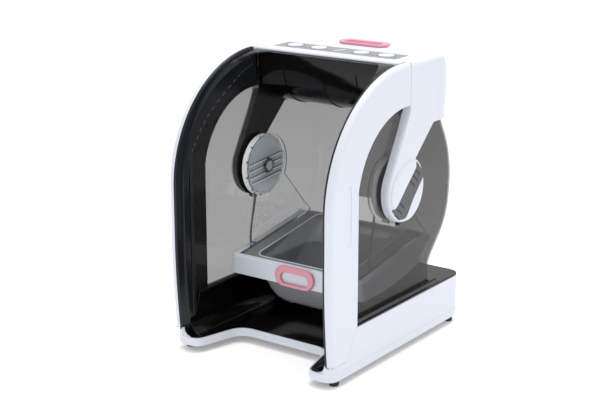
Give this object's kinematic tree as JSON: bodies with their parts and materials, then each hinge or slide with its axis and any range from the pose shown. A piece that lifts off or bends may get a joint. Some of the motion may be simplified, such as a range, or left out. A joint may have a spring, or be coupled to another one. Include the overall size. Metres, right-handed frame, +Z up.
{
  "type": "hooded rocking tray machine",
  "caption": "Benchtop machine with arched side frames, a smoked hood, a control head and a hub-hung rocking cradle that carries a pull-out tray.",
  "frame": {"origin": "on the bench below the middle of the machine", "axes": "+Z up, +Y to the rear, +X to the right of somebody standing in front"},
  "size_m": [0.348, 0.435, 0.5223],
  "materials": {
    "white_plastic": "glossy moulded",
    "black_plastic": "high gloss",
    "smoked_plastic": "transparent, polished",
    "clear_plastic": "transparent, polished",
    "frosted_plastic": "translucent, smooth",
    "grey_plastic": "fine matt",
    "panel_film": "satin printed film",
    "pink_plastic": "satin moulded",
    "foot_rubber": "matt",
    "bright_steel": "brushed",
    "circuit_board": "matt green"
  },
  "bodies": {
    "housing": {"base_shell": "white_plastic", "head_cover": "white_plastic", "side_frame_right": "white_plastic", "side_frame_left": "white_plastic", "arm_right": "white_plastic", "arm_left": "white_plastic", "tub_liner": "black_plastic", "head_liner": "black_plastic", "power_inlet": "black_plastic", "border_plate_right": "black_plastic", "border_plate_left": "black_plastic", "rear_hood": "smoked_plastic", "visor": "smoked_plastic", "display_bar": "clear_plastic", "bottom_plate": "grey_plastic", "seal_strip_right": "grey_plastic", "seal_strip_left": "grey_plastic", "grip_band_right": "grey_plastic", "grip_band_left": "grey_plastic", "control_panel": "panel_film", "foot_front_right": "foot_rubber", "foot_front_left": "foot_rubber", "foot_rear_right": "foot_rubber", "foot_rear_left": "foot_rubber", "drive_motor": "bright_steel", "hub_bearing_right": "bright_steel", "hub_bearing_left": "bright_steel", "control_board": "circuit_board", "power_supply": "circuit_board"},
    "cradle": {"hub_gear": "bright_steel", "carrier_crossbar": "frosted_plastic", "hub_shaft_right": "bright_steel", "hub_shaft_left": "bright_steel", "hub_flange_right": "grey_plastic", "hub_flange_left": "grey_plastic", "hub_disc_right": "clear_plastic", "hub_disc_left": "clear_plastic", "disc_rim_right": "white_plastic", "disc_rim_left": "white_plastic", "disc_clip_right": "bright_steel", "disc_clip_left": "bright_steel", "hanger_plate_right": "clear_plastic", "hanger_plate_left": "clear_plastic", "carrier_rail_right": "frosted_plastic", "carrier_rail_left": "frosted_plastic", "shaft_nut_right": "bright_steel", "shaft_nut_left": "bright_steel"},
    "tray": {"tray_front": "white_plastic", "tray_bin": "frosted_plastic", "tray_skirt_right": "white_plastic", "tray_skirt_left": "white_plastic"},
    "tray_pull": {"tray_pull": "pink_plastic"},
    "top_handle": {"top_handle": "pink_plastic"},
    "pinion": {"drive_pinion": "bright_steel"},
    "button_1": {"button_1": "white_plastic"},
    "button_2": {"button_2": "white_plastic"},
    "button_3": {"button_3": "white_plastic"},
    "button_4": {"button_4": "white_plastic"}
  },
  "joints": [
    {"name": "cradle_swing", "type": "hinge", "parent": "housing", "child": "cradle", "pos_m": [0, 0.0135, 0.298], "axis": [1, 0, 0], "range_deg": [-31, 13]},
    {"name": "tray_slide", "type": "slide", "parent": "cradle", "child": "tray", "axis": [0, 0.9877, 0.1564], "range_m": [-0.17, 0]},
    {"name": "tray_pull_hinge", "type": "hinge", "parent": "tray", "child": "tray_pull", "pos_m": [0, -0.0755, 0.1455], "axis": [-1, 0, 0], "range_deg": [0, 75]},
    {"name": "top_handle_hinge", "type": "hinge", "parent": "housing", "child": "top_handle", "pos_m": [0, 0.1531, 0.5148], "axis": [-1, 0, 0], "range_deg": [0, 75]},
    {"name": "pinion_spin", "type": "hinge", "parent": "housing", "child": "pinion", "pos_m": [0.1647, 0.02895, 0.34555], "axis": [1, 0, 0], "range_deg": [-60, 130]},
    {"name": "button_1_press", "type": "slide", "parent": "housing", "child": "button_1", "axis": [0, 0, -1], "range_m": [0, 0.0012], "stiffness_N_per_m": 600, "springref_m": -0.0005},
    {"name": "button_2_press", "type": "slide", "parent": "housing", "child": "button_2", "axis": [0, 0, -1], "range_m": [0, 0.0012], "stiffness_N_per_m": 600, "springref_m": -0.0005},
    {"name": "button_3_press", "type": "slide", "parent": "housing", "child": "button_3", "axis": [0, 0, -1], "range_m": [0, 0.0012], "stiffness_N_per_m": 600, "springref_m": -0.0005},
    {"name": "button_4_press", "type": "slide", "parent": "housing", "child": "button_4", "axis": [0, 0, -1], "range_m": [0, 0.0012], "stiffness_N_per_m": 600, "springref_m": -0.0005}
  ],
  "couplings": [
    {"joint": "pinion_spin", "follows": "cradle_swing", "ratio": -4}
  ]
}
